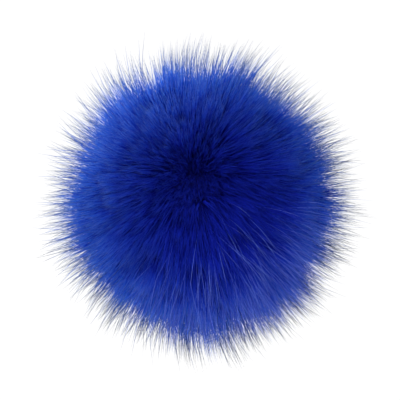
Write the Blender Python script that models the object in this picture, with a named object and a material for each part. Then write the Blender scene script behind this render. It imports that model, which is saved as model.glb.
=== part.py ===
"""A round pom pom of long-pile fur, lying on its closed underside.

The maker gathers one disc of fur into a ball, so the whole thing is one solid: a dense middle whose
surface parts into pointed locks. The locks fan out from a whorl at the top, and the weight of the
ball lays the lowest ones out along the floor around a small flat spot.
Units are metres, +Z is up, and the origin is on the floor under the middle of the ball.
"""

import math
import random

import bmesh
import bpy
from mathutils import Vector, noise

# Driving sizes
SPAN = 0.150  # across the ball, from tip to tip
CORE_RADIUS = 0.049  # of the dense middle, where the locks part
CORE_HEIGHT = 0.045  # of the ball's centre above the floor
OUTLINE = (  # how far the pile reaches, seen from above, in even steps around the ball from +X
    0.0720,
    0.0755,
    0.0745,
    0.0760,
    0.0730,
    0.0765,
    0.0745,
    0.0740,
)

# The net of knots on the middle, whose triangles each grow one lock
SPIRAL_KNOTS = 146
REST_KNOTS = 10  # around the flat spot
KNOT_SHIFT = 0.0022  # how far a knot may stray from its even place
GOLDEN_TURN = math.pi * (3 - math.sqrt(5))

# The locks
PARTING = 0.0008  # width of the strip left between a lock's root and the edge of its triangle
SHORTEST_LOCK = 0.78  # share of the pile's reach beyond the middle
LONGEST_LOCK = 1.14
LENGTH_UNDERNEATH = 0.62  # share of it that is left beside the flat spot
FULL_LENGTH_POLAR = math.radians(75)  # from straight down, where the locks have their full length
LEAN = 0.28  # how far a tip may lean to one side, as a share of its lock's length
LOCK_RINGS = (  # share of the length, and share of the root's width there
    (0.24, 0.66),
    (0.52, 0.42),
    (0.79, 0.22),
)
SLIMMEST_LOCK = 0.75  # share of those widths

# How the pile lies
PRESS = 0.50  # crowding of the lowest tips towards the floor, from 0 to under 1
FAN = 0.28  # spreading of the top locks away from the whorl
WAVE = 0.0034  # sideways waviness of the pile at the tips
WAVE_GROWTH = 1.5  # power of the way from root to tip at which the waviness grows
WAVE_LENGTH = 0.032
WAVE_SHIFTS = (0.0, 17.3, 41.7)  # places in the noise that the wave's X, Y and Z are read from
LUMP = 0.0016  # unevenness of the middle
LUMP_LENGTH = 0.030
STILL_POLAR = math.radians(20)  # beside the flat spot, over which waviness and lumps die out

SEED = 38
REST_POLAR = math.acos(CORE_HEIGHT / CORE_RADIUS)  # from straight down to the flat spot's edge
FLOOR_MARGIN = 1e-6

FUR_BLUE = (0.012, 0.026, 0.270, 1.0)
FUR_ROUGHNESS = 0.75


def outline_reach(azimuth):
    """How far the pile reaches in this direction, eased between the steps of the outline."""
    step = math.tau / len(OUTLINE)
    number, past = divmod(azimuth % math.tau, step)
    here = OUTLINE[int(number) % len(OUTLINE)]
    following = OUTLINE[(int(number) + 1) % len(OUTLINE)]
    ease = (1 - math.cos(math.pi * past / step)) / 2
    return here + (following - here) * ease


def polar_of(point):
    """Angle between straight down and a point, seen from the ball's centre."""
    return math.acos(max(-1.0, min(1.0, -point.z / point.length)))


def at_angles(radius, polar, azimuth):
    """Point at this radius from the ball's centre, with polar counted from straight down."""
    across = radius * math.sin(polar)
    return Vector((across * math.cos(azimuth), across * math.sin(azimuth), -radius * math.cos(polar)))


def sideways(direction, draw):
    """Random vector at right angles to a direction, up to one unit long."""
    loose = Vector([draw.gauss(0, 1) for _ in range(3)])
    flat = loose - direction * loose.dot(direction)
    return flat.normalized() * draw.random() ** 0.5


def knots(draw):
    """Points on the middle: a spiral from the top, and a ring around the flat spot."""
    points = []
    lowest = -CORE_HEIGHT / CORE_RADIUS
    for number in range(SPIRAL_KNOTS):
        share = (number + 0.5) / (SPIRAL_KNOTS + REST_KNOTS / 2)
        polar = math.pi - math.acos(1 + share * (lowest - 1))
        even = at_angles(CORE_RADIUS, polar, number * GOLDEN_TURN)
        strayed = even + sideways(even.normalized(), draw) * KNOT_SHIFT
        points.append(strayed.normalized() * CORE_RADIUS)
    for number in range(REST_KNOTS):
        turn = math.tau * number / REST_KNOTS
        points.append(at_angles(CORE_RADIUS, REST_POLAR, turn))
    return points


def freedom(direction):
    """From 0 beside the flat spot to 1 where the ball's weight no longer shortens the locks."""
    return min(1.0, (polar_of(direction) - REST_POLAR) / (FULL_LENGTH_POLAR - REST_POLAR))


def lock_length(direction, draw):
    """Length of the lock that grows in this direction."""
    full = outline_reach(math.atan2(direction.y, direction.x)) - CORE_RADIUS
    share = LENGTH_UNDERNEATH + (1 - LENGTH_UNDERNEATH) * freedom(direction)
    return full * share * draw.uniform(SHORTEST_LOCK, LONGEST_LOCK)


def grow_lock(ball, face, draw):
    """Draws one face of the net out into a tapering lock that ends in a point."""
    root = face.calc_center_median()
    direction = root.normalized()
    length = lock_length(direction, draw)
    lean = sideways(direction, draw) * LEAN * length * freedom(direction)
    slimness = draw.uniform(SLIMMEST_LOCK, 1.0)
    spokes = [(vert.co - root) * slimness for vert in face.verts]
    for share, width in LOCK_RINGS:
        face = bmesh.ops.extrude_discrete_faces(ball, faces=[face])["faces"][0]
        middle = root + direction * length * share + lean * share**2
        for vert, spoke in zip(face.verts, spokes):
            vert.co = middle + spoke * width
    face = bmesh.ops.extrude_discrete_faces(ball, faces=[face])["faces"][0]
    bmesh.ops.pointmerge(ball, verts=face.verts[:], merge_co=root + direction * length + lean)


def waved(point, outward):
    """The pile's waviness, which grows towards the tips and dies out beside the flat spot."""
    clear = min(1.0, max(0.0, (polar_of(point) - REST_POLAR) / STILL_POLAR))
    place = point / WAVE_LENGTH
    sway = Vector([noise.noise(place + Vector((0, 0, shift))) for shift in WAVE_SHIFTS])
    direction = point.normalized()
    lumps = direction * noise.noise(direction * CORE_RADIUS / LUMP_LENGTH)
    return point + (sway * WAVE * outward**WAVE_GROWTH + lumps * LUMP) * clear


def settled(point):
    """Where a point of the free ball goes once the ball lies on the floor.

    It keeps its distance from the centre. Below, its angle opens so that it stays above the floor,
    and above, it opens away from the whorl. Neither makes two locks cross.
    """
    outward = (point.length - CORE_RADIUS) / (SPAN / 2 - CORE_RADIUS)
    outward = min(1.0, max(0.0, outward))
    point = waved(point, outward)
    radius = point.length
    floor_polar = math.acos(min(1.0, CORE_HEIGHT / radius))
    share = max(0.0, (polar_of(point) - REST_POLAR) / (math.pi - REST_POLAR))
    crowded = share * (1 - PRESS * outward * (1 - share))
    polar = floor_polar + (math.pi - floor_polar) * crowded
    from_whorl = math.pi - polar
    if from_whorl < math.pi / 2:
        from_whorl += FAN * outward * math.sin(2 * from_whorl) / 2
    return at_angles(radius, math.pi - from_whorl, math.atan2(point.y, point.x))


def fur_ball():
    """The whole pom pom as one closed body."""
    draw = random.Random(SEED)
    ball = bmesh.new()
    for point in knots(draw):
        ball.verts.new(point)
    bmesh.ops.convex_hull(ball, input=ball.verts[:])
    on_floor = {vert for vert in ball.verts if vert.co.z < -CORE_HEIGHT + FLOOR_MARGIN}
    under = [face for face in ball.faces if on_floor.issuperset(face.verts)]
    furred = [face for face in ball.faces if not on_floor.issuperset(face.verts)]
    furred.sort(key=lambda face: face.calc_center_median()[:])
    bmesh.ops.dissolve_faces(ball, faces=under)
    bmesh.ops.inset_individual(ball, faces=furred, thickness=PARTING)
    for face in furred:
        grow_lock(ball, face, draw)
    for vert in ball.verts:
        vert.co = settled(vert.co)
        vert.co.z = 0.0 if vert in on_floor else vert.co.z + CORE_HEIGHT
    across = [[vert.co[axis] for vert in ball.verts] for axis in (0, 1)]
    middle = [(min(values) + max(values)) / 2 for values in across]
    bmesh.ops.translate(ball, verts=ball.verts[:], vec=(-middle[0], -middle[1], 0))
    bmesh.ops.recalc_face_normals(ball, faces=ball.faces[:])
    mesh = bpy.data.meshes.new("fur_ball")
    ball.to_mesh(mesh)
    ball.free()
    return mesh


def dyed_fur():
    """Royal blue long-pile fur."""
    material = bpy.data.materials.new("dyed_fur")
    material.use_nodes = True
    shader = material.node_tree.nodes["Principled BSDF"]
    shader.inputs["Base Color"].default_value = FUR_BLUE
    shader.inputs["Roughness"].default_value = FUR_ROUGHNESS
    shader.inputs["Metallic"].default_value = 0.0
    return material


for old in list(bpy.data.objects):
    bpy.data.objects.remove(old)
fur = bpy.data.objects.new("fur_ball", fur_ball())
bpy.context.scene.collection.objects.link(fur)
fur.data.materials.append(dyed_fur())
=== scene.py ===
# %% [markdown]
# A royal blue pom pom of long-pile fur, seen from straight above
#
# The real one is a disc of dyed fur, gathered with a thread into a ball and closed underneath. Three
# things make up what the eye sees: the pelt, which is the dark skin of the ball, the underfur, which is
# short, dense and strongly blue, and the guard hairs, which are longer, glossy and dark at the tip.
# Each gets its own cells below.

# %% The frame
import math

import bmesh
import bpy
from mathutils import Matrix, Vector, noise


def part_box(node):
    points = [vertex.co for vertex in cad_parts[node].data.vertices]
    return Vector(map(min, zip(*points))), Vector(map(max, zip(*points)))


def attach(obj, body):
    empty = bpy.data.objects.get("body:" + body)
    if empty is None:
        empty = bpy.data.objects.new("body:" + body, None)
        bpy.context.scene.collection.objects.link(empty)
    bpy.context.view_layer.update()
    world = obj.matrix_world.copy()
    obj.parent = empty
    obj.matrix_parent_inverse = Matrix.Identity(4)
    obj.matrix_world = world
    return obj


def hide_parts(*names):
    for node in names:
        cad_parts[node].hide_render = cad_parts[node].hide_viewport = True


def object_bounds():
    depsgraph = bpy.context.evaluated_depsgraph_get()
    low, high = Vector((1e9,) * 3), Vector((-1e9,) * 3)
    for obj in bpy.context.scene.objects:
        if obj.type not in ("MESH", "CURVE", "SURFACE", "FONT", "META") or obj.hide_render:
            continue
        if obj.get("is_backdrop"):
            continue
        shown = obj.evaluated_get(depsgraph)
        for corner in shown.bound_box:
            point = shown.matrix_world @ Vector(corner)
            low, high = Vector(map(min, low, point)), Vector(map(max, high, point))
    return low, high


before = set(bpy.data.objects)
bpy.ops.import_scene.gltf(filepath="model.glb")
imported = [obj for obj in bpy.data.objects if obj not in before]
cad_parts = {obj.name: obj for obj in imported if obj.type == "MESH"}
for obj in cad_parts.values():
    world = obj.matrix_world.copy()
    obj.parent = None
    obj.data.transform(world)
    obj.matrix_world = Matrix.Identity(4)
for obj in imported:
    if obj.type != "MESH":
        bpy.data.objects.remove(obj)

CAD_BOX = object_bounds()
LOW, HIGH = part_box("fur_ball")
print("the packed ball:", [round(1000 * (high - low), 1) for low, high in zip(LOW, HIGH)], "mm")

# %% [markdown]
# The camera hangs over the ball and looks straight down, as in the photograph, with +Y up in the
# picture. A long lens from a metre away keeps the ball round. Its focal length follows from how many
# millimetres of the ball's widest level one pixel covers.

# %% The camera
PICTURE_PIXELS = 400
BALL_MM = 150  # from tip to tip
BALL_PIXELS = 325  # the same in the photograph
MM_PER_PIXEL = BALL_MM / BALL_PIXELS
WIDEST_LEVEL = 0.045
CAMERA_ABOVE = 1.0
SENSOR_MM = 36.0
LOOK_AT = (-0.0005, 0.0009)  # the ball lies a pixel or two off the middle of the picture

camera_data = bpy.data.cameras.new("camera")
camera = bpy.data.objects.new("camera", camera_data)
bpy.context.scene.collection.objects.link(camera)
bpy.context.scene.camera = camera
view_width = PICTURE_PIXELS * MM_PER_PIXEL / 1000
camera_data.sensor_width = SENSOR_MM
camera_data.lens = SENSOR_MM * CAMERA_ABOVE / view_width
camera_data.clip_start = 0.01
camera.location = (*LOOK_AT, WIDEST_LEVEL + CAMERA_ABOVE)
print("lens:", round(camera_data.lens, 1), "mm")

# %% [markdown]
# Every colour below is written as a paint mixer would note it, as an sRGB hex value. Shaders want linear
# numbers, so one function turns them. One other function adds a node to any tree, whether it makes
# fur or colours it.

# %% Colours and nodes
WHITE = "#FFFFFF"


def linear(hex_colour):
    """An sRGB hex colour as linear numbers, by the curve in the sRGB standard."""
    shares = [int(hex_colour[place : place + 2], 16) / 255 for place in (1, 3, 5)]
    return [s / 12.92 if s <= 0.04045 else ((s + 0.055) / 1.055) ** 2.4 for s in shares] + [1.0]


def add(tree, kind, inputs=(), **settings):
    """Adds a node with its settings, sets or links its inputs, and gives its first live output."""
    node = tree.nodes.new(kind)
    for name, value in settings.items():
        setattr(node, name, value)
    for key, value in inputs.items() if isinstance(inputs, dict) else enumerate(inputs):
        named = [socket for socket in node.inputs if socket.name == key and socket.enabled]
        socket = named[0] if named else node.inputs[key]
        if isinstance(value, bpy.types.NodeSocket):
            tree.links.new(value, socket)
        else:
            socket.default_value = value
    return next((socket for socket in node.outputs if socket.enabled), None)


def new_piece(name, mesh, material=None):
    """An object at the origin with this mesh and finish."""
    piece = bpy.data.objects.new(name, mesh)
    bpy.context.scene.collection.objects.link(piece)
    if material is not None:
        mesh.materials.append(material)
    return piece


# %% [markdown]
# The light is a white room: an even sky, a large soft panel that leans in from the bottom of the
# picture, where the photograph is brightest, and a weaker one low at the top left, which lights
# the rim there from behind. The photograph shows no shadow, as on a light table, so the floor is
# a grey sheet that glows up to white: a ball on it darkens it only a little.

# %% The studio
SKY_STRENGTH = 0.98
PANELS = {  # place, size in metres, watts
    "key": ((0.10, -0.75, 0.95), 0.8, 8.0),
    "rim": ((-0.55, 0.85, 0.30), 0.6, 8.0),
}
FLOOR_SIZE = 3.0
FLOOR_GREY = "#626262"
FLOOR_ROUGHNESS = 0.9
FLOOR_GLOW = 0.90
FLOOR_GAP = 0.0002  # below the ball, so that no face of the ball lies in the floor


def light_table():
    """Opal acrylic lit from below: a matt sheet that glows evenly and reflects little."""
    material = bpy.data.materials.new("opal_acrylic")
    material.use_nodes = True
    shader = material.node_tree.nodes["Principled BSDF"]
    shader.inputs["Base Color"].default_value = linear(FLOOR_GREY)
    shader.inputs["Roughness"].default_value = FLOOR_ROUGHNESS
    shader.inputs["Specular IOR Level"].default_value = 0.0
    shader.inputs["Emission Color"].default_value = linear(WHITE)
    shader.inputs["Emission Strength"].default_value = FLOOR_GLOW
    return material


sky = bpy.data.worlds.new("sky")
bpy.context.scene.world = sky
sky.use_nodes = True
sky.node_tree.nodes["Background"].inputs["Color"].default_value = linear(WHITE)
sky.node_tree.nodes["Background"].inputs["Strength"].default_value = SKY_STRENGTH

for name, (place, size, watts) in PANELS.items():
    panel = bpy.data.lights.new(name, "AREA")
    panel.size = size
    panel.energy = watts
    lamp = bpy.data.objects.new(name, panel)
    bpy.context.scene.collection.objects.link(lamp)
    lamp.location = place
    lamp.rotation_euler = (-Vector(place)).to_track_quat("-Z", "Y").to_euler()

floor_mesh = bpy.data.meshes.new("floor")
flat = bmesh.new()
bmesh.ops.create_grid(flat, x_segments=1, y_segments=1, size=FLOOR_SIZE / 2)
bmesh.ops.translate(flat, verts=flat.verts[:], vec=(0, 0, -FLOOR_GAP))
flat.to_mesh(floor_mesh)
flat.free()
new_piece("floor", floor_mesh, light_table())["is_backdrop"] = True
bpy.context.scene.view_settings.view_transform = "Standard"

# %% [markdown]
# The pelt is the leather side of the fur, drawn into a ball. It hardly shows: only between the hairs at
# the whorl, and as the dark depth behind them. It could be a sphere, but a gathered skin has soft lumps
# and rests on a small flat spot, so an icosphere is moved by noise and pressed onto the floor.

# %% The pelt
CENTRE_HEIGHT = 0.045
PELT_RADIUS = 0.0475
PELT_LUMP = 0.0022
PELT_LUMP_LENGTH = 0.030
PELT_SPLITS = 5


def pelt_mesh():
    """The gathered skin: a lumpy ball whose underside lies flat on the floor."""
    ball = bmesh.new()
    bmesh.ops.create_icosphere(ball, subdivisions=PELT_SPLITS, radius=1.0)
    for vert in ball.verts:
        lump = noise.noise(vert.co * PELT_RADIUS / PELT_LUMP_LENGTH)
        vert.co = vert.co * (PELT_RADIUS + lump * PELT_LUMP)
        vert.co.z = max(0.0, vert.co.z + CENTRE_HEIGHT)
    mesh = bpy.data.meshes.new("pelt")
    ball.to_mesh(mesh)
    ball.free()
    mesh.polygons.foreach_set("use_smooth", [True] * len(mesh.polygons))
    return mesh


# %% [markdown]
# The leather is navy and dull, and its navy is painted shade: the deep blue shade that fills the gaps
# between the hairs. Fine noise at the size of the hair follicles gives it its grain.

# %% The pelt's finish
FOLLICLE_MM = 1.2
PIT_DEPTH = 0.0004
PIT_STRENGTH = 0.5
PIT_TONE = "#060C60"
# Painted shade: the navy stands for the deep shade between the hairs
LEATHER_PAINTED_SHADE = "#0C1688"
LEATHER_ROUGHNESS = 0.85
LEATHER_GLOSS = 0.15
NOISE = "ShaderNodeTexNoise"


def leather_in_painted_shade():
    """Suede side of the pelt: dull and finely pitted, its navy painted as the deep shade between the
    hairs.
    """
    material = bpy.data.materials.new("pelt_leather_painted_shade")
    material.use_nodes = True
    tree = material.node_tree
    shader = tree.nodes["Principled BSDF"]
    place = add(tree, "ShaderNodeTexCoord").node.outputs["Object"]
    grain = add(tree, NOISE, {"Vector": place, "Scale": 1000 / FOLLICLE_MM, "Detail": 2.0})
    tones = {"Factor": grain, "A": linear(PIT_TONE), "B": linear(LEATHER_PAINTED_SHADE)}
    tree.links.new(add(tree, "ShaderNodeMix", tones, data_type="RGBA"), shader.inputs["Base Color"])
    pits = {"Height": grain, "Strength": PIT_STRENGTH, "Distance": PIT_DEPTH}
    tree.links.new(add(tree, "ShaderNodeBump", pits), shader.inputs["Normal"])
    shader.inputs["Roughness"].default_value = LEATHER_ROUGHNESS
    shader.inputs["Specular IOR Level"].default_value = LEATHER_GLOSS
    return material


pelt = new_piece("pelt", pelt_mesh(), leather_in_painted_shade())
print("pelt:", len(pelt.data.polygons), "faces")

# %% [markdown]
# Fur is the same thing thousands of times, so Geometry Nodes make it. One tree serves every coat. It
# scatters roots over the ball, gathers them into locks, stands a thin three-sided cone on each root, bends
# the cones, and at last lets the whole coat settle on the floor. Its sizes are named inputs.

# %% The tree's inputs
MATH = "ShaderNodeMath"
VECTOR = "ShaderNodeVectorMath"
FUR_INPUTS = {
    "Strands per m2": "NodeSocketFloat",
    "Share everywhere": "NodeSocketFloat",
    "More towards": "NodeSocketVector",
    "Shortest": "NodeSocketFloat",
    "Longest": "NodeSocketFloat",
    "Rarity of long ones": "NodeSocketFloat",
    "Radius": "NodeSocketFloat",
    "Fullness": "NodeSocketFloat",
    "Segments": "NodeSocketInt",
    "Lock spacing": "NodeSocketFloat",
    "Lock gathering": "NodeSocketFloat",
    "Lock lean": "NodeSocketFloat",
    "Wisp spacing": "NodeSocketFloat",
    "Wisp gathering": "NodeSocketFloat",
    "Wisp lean": "NodeSocketFloat",
    "Own lean": "NodeSocketFloat",
    "Wave": "NodeSocketFloat",
    "Frizz": "NodeSocketFloat",
    "Fan": "NodeSocketFloat",
    "Comb": "NodeSocketVector",
    "Paleness": "NodeSocketFloat",
    "Paleness spread": "NodeSocketFloat",
    "Painted light towards": "NodeSocketVector",
    "Seed": "NodeSocketInt",
    "Material": "NodeSocketMaterial",
}


def fur_tree():
    """The tree with its named inputs, ready for its nodes."""
    tree = bpy.data.node_groups.new("fur", "GeometryNodeTree")
    tree.interface.new_socket("Geometry", in_out="INPUT", socket_type="NodeSocketGeometry")
    for name, kind in FUR_INPUTS.items():
        tree.interface.new_socket(name, in_out="INPUT", socket_type=kind)
    tree.interface.new_socket("Geometry", in_out="OUTPUT", socket_type="NodeSocketGeometry")
    return tree


# %% [markdown]
# Each root needs facts of its own before its strand exists: which way it grows, how far it leans, how
# long it gets and how pale it is, which is its own tone plus painted light and shade by where it grows.
# Hair also keeps company. Neighbours share a lock, and within it a wisp, so each root looks up the
# nearest point of two coarser scatters and takes a share of what that point says. The facts are stored
# by name, and the strand's points inherit them.

# %% Roots, locks and wisps
SCATTER = "GeometryNodeDistributePointsOnFaces"
RANDOM = "FunctionNodeRandomValue"
STORE = "GeometryNodeStoreNamedAttribute"
SEEDS = {"Lock": 5, "Wisp": 6, "own": 12, "shade": 15, "spin": 17}
AS_MANY_AS_FIT = 1e7  # per m2: the spacing is what limits them
STRAY = 0.006  # how ragged the border between two locks is
STRAY_LENGTH = 0.006
LENGTH_PARTS = (0.30, 0.25, 0.45)  # say of the lock, the wisp and the hair itself in its length
EITHER_WAY = {"Min": (-1.0, -1.0, -1.0), "Max": (1.0, 1.0, 1.0)}
HALVES = (0.5, 0.5, 0.5)  # the middle of what runs from 0 to 1 on each axis
SHADE_DRAW = {"Min": -0.5, "Max": 0.5}  # each hair's share of the spread of paleness


def shared_facts(tree, given, label, sample, grows):
    """What a root takes over from its lock or wisp: a pull to its middle with a lean, and a draw."""
    crowd = {"Mesh": given["Geometry"], "Density Max": AS_MANY_AS_FIT, "Seed": SEEDS[label]}
    crowd["Distance Min"] = given[f"{label} spacing"]
    middles = add(tree, SCATTER, crowd, distribute_method="POISSON")
    nearest = add(tree, "GeometryNodeSampleNearest", (middles, sample))
    place = add(tree, "GeometryNodeInputPosition")
    draw = add(tree, RANDOM, {**EITHER_WAY, "Seed": SEEDS[label]}, data_type="FLOAT_VECTOR")
    found = []
    for value in (place, draw):
        facts = {"Geometry": middles, "Value": value, "Index": nearest}
        found.append(add(tree, "GeometryNodeSampleIndex", facts, data_type="FLOAT_VECTOR"))
    middle = add(tree, VECTOR, (found[0],), operation="NORMALIZE")
    towards = add(tree, VECTOR, (middle, grows), operation="SUBTRACT")
    pull = add(tree, VECTOR, {0: towards, "Scale": given[f"{label} gathering"]}, operation="SCALE")
    lean = add(tree, VECTOR, {0: found[1], "Scale": given[f"{label} lean"]}, operation="SCALE")
    return pull, lean, found[1]


def plant(tree, given):
    """Scatters the roots and tells each one its pull, lean, length and shade: its own tone plus painted
    light.
    """
    place = add(tree, "GeometryNodeInputPosition")
    grows = add(tree, VECTOR, (place,), operation="NORMALIZE")
    more = add(tree, VECTOR, (grows, given["More towards"]), operation="DOT_PRODUCT")
    density = add(tree, MATH, (given["Share everywhere"], more), operation="ADD", use_clamp=True)
    density = add(tree, MATH, (density, given["Strands per m2"]), operation="MULTIPLY")
    roots = add(tree, SCATTER, {"Mesh": given["Geometry"], "Density": density, "Seed": given["Seed"]})
    ragged = add(tree, NOISE, {"Vector": place, "Scale": 1 / STRAY_LENGTH}).node.outputs["Color"]
    ragged = add(tree, VECTOR, (ragged, HALVES), operation="SUBTRACT")
    sample = add(tree, VECTOR, (ragged, (STRAY, STRAY, STRAY), place), operation="MULTIPLY_ADD")
    lock_pull, lock_lean, lock_draw = shared_facts(tree, given, "Lock", sample, grows)
    wisp_pull, wisp_lean, wisp_draw = shared_facts(tree, given, "Wisp", sample, grows)
    own_draw = add(tree, RANDOM, {**EITHER_WAY, "Seed": SEEDS["own"]}, data_type="FLOAT_VECTOR")
    lean = add(tree, VECTOR, {0: own_draw, "Scale": given["Own lean"]}, operation="SCALE")
    for shared_lean in (lock_lean, wisp_lean):
        lean = add(tree, VECTOR, (lean, shared_lean), operation="ADD")

    # The draws run from -1 to 1 and the share from 0 to 1, so it starts at a half and takes half of each
    share = HALVES
    for draw, part in zip((lock_draw, wisp_draw, own_draw), LENGTH_PARTS):
        say = (part / 2, part / 2, part / 2)
        share = add(tree, VECTOR, (draw, say, share), operation="MULTIPLY_ADD")
    share = add(tree, "ShaderNodeSeparateXYZ", (share,))
    share = add(tree, MATH, (share, given["Rarity of long ones"]), operation="POWER")
    limits = {"Value": share, "To Min": given["Shortest"], "To Max": given["Longest"]}
    length = add(tree, "ShaderNodeMapRange", limits)

    shade = add(tree, RANDOM, {**SHADE_DRAW, "Seed": SEEDS["shade"]}, data_type="FLOAT")
    shade = (shade, given["Paleness spread"], given["Paleness"])
    shade = add(tree, MATH, shade, operation="MULTIPLY_ADD")
    # Painted light and shade: hair that grows towards this direction is made paler, and hair facing away
    # darker
    painted_light = add(tree, VECTOR, (grows, given["Painted light towards"]), operation="DOT_PRODUCT")
    shade = add(tree, MATH, (shade, painted_light), operation="ADD", use_clamp=True)
    vectors = {
        "grows": grows,
        "pull": add(tree, VECTOR, (lock_pull, wisp_pull), operation="ADD"),
        "lean": lean,
        "own": own_draw,
    }
    for name, value in vectors.items():
        fact = {"Geometry": roots, "Name": name, "Value": value}
        roots = add(tree, STORE, fact, data_type="FLOAT_VECTOR")
    for name, value in {"length": length, "shade": shade}.items():
        roots = add(tree, STORE, {"Geometry": roots, "Name": name, "Value": value})
    return roots


# %% [markdown]
# A strand is a cone with three sides. It costs so few triangles that tens of thousands fit, and smooth
# shading still gives it a round highlight. A hair stays thick for most of its way and narrows near
# its tip, so the rings of the cone are widened to match. Each keeps its share of the way from root
# to tip, because all the bending that follows grows towards the tip.

# %% One strand on each root
READ = "GeometryNodeInputNamedAttribute"
JOIN = "ShaderNodeCombineXYZ"
STRAND_SIDES = 3
CORNER_SKEW = 0.5  # gives each of the three corners its own place across the map
TIP_SHARE = 0.001  # keeps the widening finite at the very tip


def one_strand(tree, given):
    """A cone one unit high on a base of one unit's radius, with a hair's taper."""
    sizes = {"Vertices": STRAND_SIDES, "Side Segments": given["Segments"], "Radius Top": 0.0}
    strand = add(tree, "GeometryNodeMeshCone", {**sizes, "Radius Bottom": 1.0, "Depth": 1.0})
    place = add(tree, "GeometryNodeInputPosition")
    sides = add(tree, "ShaderNodeSeparateXYZ", (place,)).node.outputs
    around = add(tree, MATH, (sides["Y"], CORNER_SKEW, sides["X"]), operation="MULTIPLY_ADD")
    for name, value in {"along": sides["Z"], "around": around}.items():
        strand = add(tree, STORE, {"Geometry": strand, "Name": name, "Value": value})
    missing = add(tree, MATH, (sides["Z"], given["Fullness"]), operation="POWER")
    full = add(tree, MATH, (1.0, missing), operation="SUBTRACT")
    slim = add(tree, MATH, (1.0, sides["Z"]), operation="SUBTRACT")
    slim = add(tree, MATH, (slim, TIP_SHARE), operation="MAXIMUM")
    widen = add(tree, MATH, (full, slim), operation="DIVIDE")
    ring = add(tree, VECTOR, (place, add(tree, JOIN, (widen, widen, 1.0))), operation="MULTIPLY")
    return add(tree, "GeometryNodeSetPosition", {"Geometry": strand, "Position": ring})


def grow(tree, given, roots):
    """Stands a strand on each root, turned at random about itself, and makes them all one mesh."""
    grows = add(tree, READ, {"Name": "grows"}, data_type="FLOAT_VECTOR")
    spin = {"Max": (math.tau, math.tau, math.tau), "Seed": SEEDS["spin"]}
    spin = add(tree, RANDOM, spin, data_type="FLOAT_VECTOR")
    spin = add(tree, "FunctionNodeEulerToRotation", (spin,))
    turn = add(tree, "FunctionNodeAlignRotationToVector", {"Rotation": spin, "Vector": grows}, axis="Z")
    length = add(tree, READ, {"Name": "length"})
    size = add(tree, JOIN, (given["Radius"], given["Radius"], length))
    stand = {"Points": roots, "Instance": one_strand(tree, given), "Rotation": turn, "Scale": size}
    return add(tree, "GeometryNodeRealizeInstances", (add(tree, "GeometryNodeInstanceOnPoints", stand),))


# %% [markdown]
# The bending is a sum of moves that all start at nothing at the root: towards the middle of the lock and
# the wisp, so that both end in points, sideways by the lean, the way the ball was combed, which shows on
# top, along a slow wave that neighbours share, and along a short frizz of the strand's own. At the end
# each point goes back to its own distance from the middle, so that no hair stands out more for it.

# %% Bending
WAVE_LENGTH = 0.026
FRIZZ_LENGTH = 0.007
LATENESS = 1.5  # power of the way from root to tip at which a strand gives in to its neighbours


def bend(tree, given, strands):
    """Gathers the strands into pointed locks, and leans, combs and waves them."""
    place = add(tree, "GeometryNodeInputPosition")
    along, length = (add(tree, READ, {"Name": name}) for name in ("along", "length"))
    names = ("pull", "lean", "grows", "own")
    facts = [add(tree, READ, {"Name": name}, data_type="FLOAT_VECTOR") for name in names]
    pull, lean, grows, own = facts
    eased = add(tree, MATH, (along, LATENESS), operation="POWER")
    squared = add(tree, MATH, (along, along), operation="MULTIPLY")
    on_top = add(tree, "ShaderNodeSeparateXYZ", (grows,)).node.outputs["Z"]
    on_top = add(tree, MATH, (on_top, 0.0), operation="MAXIMUM")
    reach = add(tree, VECTOR, (place,), operation="LENGTH")
    moves = (
        (pull, add(tree, MATH, (reach, eased), operation="MULTIPLY")),
        (lean, add(tree, MATH, (length, along), operation="MULTIPLY")),
        (given["Comb"], add(tree, MATH, (on_top, squared), operation="MULTIPLY")),
    )
    bent = place
    for move, amount in moves:
        step = add(tree, VECTOR, {0: move, "Scale": amount}, operation="SCALE")
        bent = add(tree, VECTOR, (bent, step), operation="ADD")
    own_place = add(tree, VECTOR, (own, bent), operation="ADD")
    sways = (
        (bent, WAVE_LENGTH, add(tree, MATH, (given["Wave"], eased), operation="MULTIPLY")),
        (own_place, FRIZZ_LENGTH, add(tree, MATH, (given["Frizz"], along), operation="MULTIPLY")),
    )
    for sample, wave_length, amount in sways:
        waves = add(tree, NOISE, {"Vector": sample, "Scale": 1 / wave_length, "Detail": 1.0})
        push = add(tree, VECTOR, (waves.node.outputs["Color"], HALVES), operation="SUBTRACT")
        step = add(tree, VECTOR, {0: push, "Scale": amount}, operation="SCALE")
        bent = add(tree, VECTOR, (bent, step), operation="ADD")
    bent = add(tree, VECTOR, (bent,), operation="NORMALIZE")
    bent = add(tree, VECTOR, {0: bent, "Scale": reach}, operation="SCALE")
    return add(tree, "GeometryNodeSetPosition", {"Geometry": strands, "Position": bent})


# %% [markdown]
# Then the coat settles. Above, hair falls away from the whorl. Below, the weight of the ball lays it
# along the floor. Both are moves that keep every point's distance from the middle of the ball, so no
# hair gets further out, and both keep the order in which the hairs stand around the ball.

# %% Settling
PRESS_SOFTNESS = 0.006  # height over which hair eases onto the floor
ACROSS_ONLY = (1.0, 1.0, 0.0)  # times this, a vector keeps its X and Y and loses its height


def fan_out(tree, given, place):
    """Where a point goes when the hair on top falls away from the whorl."""
    reach = add(tree, VECTOR, (place,), operation="LENGTH")
    heading = add(tree, VECTOR, (place,), operation="NORMALIZE")
    rise = add(tree, "ShaderNodeSeparateXYZ", (heading,)).node.outputs["Z"]
    sideways = add(tree, VECTOR, (heading, ACROSS_ONLY), operation="MULTIPLY")
    spread = add(tree, MATH, (given["Fan"], add(tree, READ, {"Name": "along"})), operation="MULTIPLY")
    rise = add(tree, MATH, (rise, 0.0), operation="MAXIMUM")
    spread = add(tree, MATH, (spread, rise), operation="MULTIPLY")
    step = add(tree, VECTOR, {0: sideways, "Scale": spread}, operation="SCALE")
    heading = add(tree, VECTOR, (heading, step), operation="ADD")
    heading = add(tree, VECTOR, (heading,), operation="NORMALIZE")
    return add(tree, VECTOR, {0: heading, "Scale": reach}, operation="SCALE")


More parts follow.
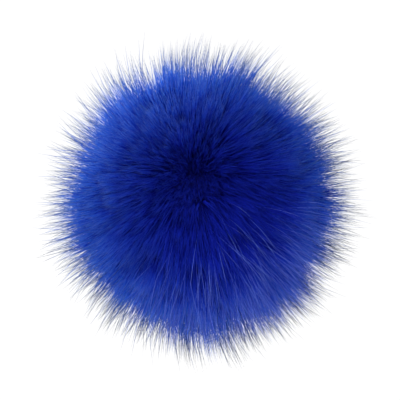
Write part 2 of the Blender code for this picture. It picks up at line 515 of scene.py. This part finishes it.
def rest_on_floor(tree, place):
    """Where a point goes when the floor holds it up, seen from the floor under the ball's middle."""
    height = add(tree, "ShaderNodeSeparateXYZ", (place,)).node.outputs["Z"]
    height = add(tree, MATH, (height, CENTRE_HEIGHT), operation="ADD")
    # Half the sum of the height and its softened size is the height itself, but eases to 0 at the floor
    soft = add(tree, MATH, (height, height, PRESS_SOFTNESS**2), operation="MULTIPLY_ADD")
    height = add(tree, MATH, (height, add(tree, MATH, (soft,), operation="SQRT")), operation="ADD")
    height = add(tree, MATH, (height, 0.5), operation="MULTIPLY")
    level = add(tree, MATH, (height, CENTRE_HEIGHT), operation="SUBTRACT")
    reach = add(tree, VECTOR, (place,), operation="LENGTH")
    squares = [add(tree, MATH, (value, 2.0), operation="POWER") for value in (reach, level)]
    wide = add(tree, MATH, squares, operation="SUBTRACT")
    wide = add(tree, MATH, (add(tree, MATH, (wide, 0.0), operation="MAXIMUM"),), operation="SQRT")
    outwards = add(tree, VECTOR, (place, ACROSS_ONLY), operation="MULTIPLY")
    outwards = add(tree, VECTOR, (outwards,), operation="NORMALIZE")
    outwards = add(tree, VECTOR, {0: outwards, "Scale": wide}, operation="SCALE")
    return add(tree, VECTOR, (outwards, add(tree, JOIN, {"Z": height})), operation="ADD")


# %% [markdown]
# The finish needs to know where it is on a strand. A map does that: across it runs the strand's own
# shade, its tone with its painted light and shade, and up it runs the way from root to tip. Thousands
# of strands share the map, because two that lie on the same spot of it also have the same colour.

# %% The finished coat
MAP_NAME = "OFBake"
MAP_STRAND_WIDTH = 0.03
STRAND_FACTS = ("grows", "pull", "lean", "own", "length", "shade", "along", "around")


def finish_tree(tree):
    """Fills the tree from its inputs to its output."""
    given = add(tree, "NodeGroupInput").node.outputs
    strands = bend(tree, given, grow(tree, given, plant(tree, given)))
    place = add(tree, "GeometryNodeInputPosition")
    rested = rest_on_floor(tree, fan_out(tree, given, place))
    strands = add(tree, "GeometryNodeSetPosition", {"Geometry": strands, "Position": rested})
    half = MAP_STRAND_WIDTH / 2
    wide = add(tree, MATH, (add(tree, READ, {"Name": "around"}), half, half), operation="MULTIPLY_ADD")
    across = (add(tree, READ, {"Name": "shade"}), 1 - 2 * MAP_STRAND_WIDTH, wide)
    across = add(tree, MATH, across, operation="MULTIPLY_ADD")
    spot = add(tree, JOIN, (across, add(tree, READ, {"Name": "along"})))
    spot = {"Geometry": strands, "Name": MAP_NAME, "Value": spot}
    strands = add(tree, STORE, spot, data_type="FLOAT2", domain="CORNER")
    strands = add(tree, "GeometryNodeSetShadeSmooth", {"Geometry": strands})
    strands = add(tree, "GeometryNodeSetMaterial", {"Geometry": strands, "Material": given["Material"]})
    add(tree, "NodeGroupOutput", (strands,))


fur = fur_tree()
finish_tree(fur)
print("fur tree:", len(fur.nodes), "nodes")

# %% [markdown]
# A coat is grown on a bare skin that is thrown away afterwards: a ball without the part that it rests on.

# %% Growing a coat
ROOT_RADIUS = 0.0450
SKIN_SPLITS = 5
BARE_BELOW = -0.90  # share of the root radius, from the ball's centre


def skin_mesh():
    """What the roots stand in: a ball about its own centre, open at the underside."""
    skin = bmesh.new()
    bmesh.ops.create_icosphere(skin, subdivisions=SKIN_SPLITS, radius=ROOT_RADIUS)
    bare = [vert for vert in skin.verts if vert.co.z < BARE_BELOW * ROOT_RADIUS]
    bmesh.ops.delete(skin, geom=bare, context="VERTS")
    mesh = bpy.data.meshes.new("skin")
    skin.to_mesh(mesh)
    skin.free()
    return mesh


def coat(name, material, sizes):
    """One piece of fur as a plain mesh, grown by the tree with these sizes."""
    grower = new_piece("grower", skin_mesh())
    modifier = grower.modifiers.new("fur", "NODES")
    modifier.node_group = fur
    sockets = {item.name: item.identifier for item in fur.interface.items_tree if item.in_out == "INPUT"}
    for label, value in {**sizes, "Material": material}.items():
        modifier[sockets[label]] = value
    grown = grower.evaluated_get(bpy.context.evaluated_depsgraph_get())
    mesh = bpy.data.meshes.new_from_object(grown)
    mesh.name = name
    for fact in STRAND_FACTS:
        mesh.attributes.remove(mesh.attributes[fact])
    grower.modifiers.remove(modifier)
    bpy.data.objects.remove(grower)
    triangles = sum(len(face.vertices) - 2 for face in mesh.polygons)
    print(f"{name}: {triangles} triangles")
    return new_piece(name, mesh)


# %% [markdown]
# A strand's finish reads the fur's map. No two hairs take the same dye, and painted light and shade
# make hairs paler or darker by where they grow, so there are two rows of colours from root to tip, for
# the darkest hair and for the palest, and the strand's own shade mixes them.

# %% A strand's finish
def colour_row(tree, along, stops):
    """Colours from root to tip: each stop is a share of the way and a colour."""
    row = add(tree, "ShaderNodeValToRGB", (along,))
    ramp = row.node.color_ramp
    while len(ramp.elements) < len(stops):
        ramp.elements.new(0.5)  # moves to its stop below
    for element, (place, colour) in zip(ramp.elements, stops):
        element.position = place
        element.color = linear(colour)
    return row


def strand_finish(name, darkest, palest, roughness, gloss):
    """A material for hair: its two rows of colours, its roughness and its shine."""
    material = bpy.data.materials.new(name)
    material.use_nodes = True
    tree = material.node_tree
    shader = tree.nodes["Principled BSDF"]
    spot = add(tree, "ShaderNodeUVMap", uv_map=MAP_NAME)
    parts = add(tree, "ShaderNodeSeparateXYZ", (spot,)).node.outputs
    rows = {label: colour_row(tree, parts["Y"], stops) for label, stops in (("A", darkest), ("B", palest))}
    colour = add(tree, "ShaderNodeMix", {"Factor": parts["X"], **rows}, data_type="RGBA")
    tree.links.new(colour, shader.inputs["Base Color"])
    shader.inputs["Roughness"].default_value = roughness
    shader.inputs["Specular IOR Level"].default_value = gloss
    return material


# %% [markdown]
# Dyed underfur is soft and matt. Each strand is navy at its root and opens to royal blue at its tip, and
# the palest ones to azure: the navy root is painted shade deep in the coat, and the azure tip is painted
# light shining through thin hair. The coat is darkest around the whorl and palest at the rim, a little
# more at the left, which is painted shade on top, where hair is seen end on, and painted light on the
# rim. Its strands are drawn more than ten times as thick as real wool fibres, which would be too fine
# to show.

# %% The underfur
underfur_finish = strand_finish(
    "underfur_dye_and_painted_light",
    # Painted shade at the navy roots of both rows, and painted light in the azure tips of the palest row
    darkest=((0.0, "#040860"), (0.5, "#081284"), (1.0, "#1020A4")),
    palest=((0.0, "#0818A0"), (0.5, "#0C2CC4"), (0.8, "#347AF4"), (1.0, "#A8D0FF")),
    roughness=0.8,
    gloss=0.03,
)
UNDERFUR = {
    "Strands per m2": 960_000.0,
    "Share everywhere": 0.75,
    "More towards": (0.0, 0.10, 0.25),
    "Shortest": 0.0085,
    "Longest": 0.0330,
    "Rarity of long ones": 2.6,
    "Radius": 0.00012,
    "Fullness": 2.2,
    "Segments": 2,
    "Lock spacing": 0.0070,
    "Lock gathering": 0.10,
    "Lock lean": 0.06,
    "Wisp spacing": 0.0020,
    "Wisp gathering": 0.06,
    "Wisp lean": 0.04,
    "Own lean": 0.14,
    "Wave": 0.0020,
    "Frizz": 0.0008,
    "Fan": 0.30,
    "Comb": (0.0008, -0.0048, 0.0),
    "Paleness": 0.72,
    "Paleness spread": 0.14,
    # Painted shade on top of the ball, and painted light on its rim and at the left
    "Painted light towards": (-0.10, 0.04, -0.76),
}

# %% [markdown]
# A guard hair is longer than underfur, glossy, and full almost to its tip. Its navy root is painted shade
# deep in the coat. Dye can't lighten its natural dark tip, which shows as charcoal against the white
# floor.
# Towards the top left more hairs are painted steel blue, as painted light on the rim there, so the
# charcoal shows most at the bottom right.

# %% The guard hairs
guard_finish = strand_finish(
    "guard_hair_dye_and_painted_light",
    # Painted shade at the navy roots of both rows
    darkest=((0.0, "#040868"), (0.4, "#1034B4"), (0.6, "#20407C"), (0.8, "#10182C"), (1.0, "#06070A")),
    palest=((0.0, "#061490"), (0.4, "#184CD8"), (0.7, "#3C78E4"), (0.9, "#345490"), (1.0, "#20304C")),
    roughness=0.4,
    gloss=0.2,
)
GUARD_HAIRS = {
    **UNDERFUR,
    "Strands per m2": 250_000.0,
    "Share everywhere": 0.75,
    "More towards": (0.0, 0.0, -1.2),
    "Shortest": 0.016,
    "Longest": 0.041,
    "Rarity of long ones": 1.25,
    "Radius": 0.00011,
    "Fullness": 4.0,
    "Segments": 4,
    "Lock gathering": 0.16,
    "Lock lean": 0.24,
    "Wisp gathering": 0.26,
    "Wisp lean": 0.24,
    "Own lean": 0.26,
    "Paleness": 0.36,
    "Paleness spread": 0.80,
    # Painted light: paler towards the top left, where the rim is lit, and a little darker on top
    "Painted light towards": (-0.20, 0.32, -0.10),
}

# %% [markdown]
# Some long hairs, finer and glossier than the rest, grow where the coat turns from the top to the bottom
# right of the picture. They lie over it, away from the whorl, and show as pale lines: their pale blue
# towards the tip is a painted highlight, on the side where the key light falls.

# %% The long hairs
long_finish = strand_finish(
    "long_hair_painted_highlight",
    darkest=((0.0, "#081078"), (0.4, "#1020A0"), (1.0, "#2034B0")),
    # Painted highlight: the pale blue towards the tip
    palest=((0.0, "#0C1C98"), (0.4, "#2C4CCC"), (1.0, "#7C98F0")),
    roughness=0.35,
    gloss=0.3,
)
LONG_HAIRS = {
    **GUARD_HAIRS,
    "Strands per m2": 900_000.0,
    "Share everywhere": -0.66,
    "More towards": (0.45, -0.95, 0.55),
    "Shortest": 0.018,
    "Longest": 0.032,
    "Rarity of long ones": 1.0,
    "Radius": 0.00006,
    "Segments": 5,
    "Lock gathering": 0.0,
    "Lock lean": 0.0,
    "Wisp gathering": 0.10,
    "Wisp lean": 0.06,
    "Own lean": 0.30,
    "Wave": 0.0008,
    "Frizz": 0.0,
    "Fan": 1.0,
    "Paleness": 0.5,
    "Paleness spread": 1.0,
    "Painted light towards": (0.0, 0.0, 0.0),
}

# %% [markdown]
# The underfur is four pieces and the guard hair is two, so that none of them is too heavy a mesh. Each
# has a seed of its own, which scatters its roots anew between those of the others.

# %% Growing every coat
UNDERFUR_SEEDS = (21, 22, 23, 24)
GUARD_SEEDS = (31, 32)
LONG_SEED = 41

pieces = [pelt]
for number, seed in enumerate(UNDERFUR_SEEDS, 1):
    pieces.append(coat(f"underfur_{number}", underfur_finish, {**UNDERFUR, "Seed": seed}))
for number, seed in enumerate(GUARD_SEEDS, 1):
    pieces.append(coat(f"guard_hair_{number}", guard_finish, {**GUARD_HAIRS, "Seed": seed}))
pieces.append(coat("long_hair", long_finish, {**LONG_HAIRS, "Seed": LONG_SEED}))

# %% [markdown]
# All pieces belong to the one body that the part has and stand for its one solid.

# %% Handing the pieces to the frame
for piece in pieces:
    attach(piece, "root")
    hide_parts("fur_ball")

boxes = {"cad": CAD_BOX, "visual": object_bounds()}
boxes = {name: [list(corner) for corner in box] for name, box in boxes.items()}
for name, (low, high) in boxes.items():
    print(name, "box:", [round(1000 * value, 1) for value in low + high], "mm")
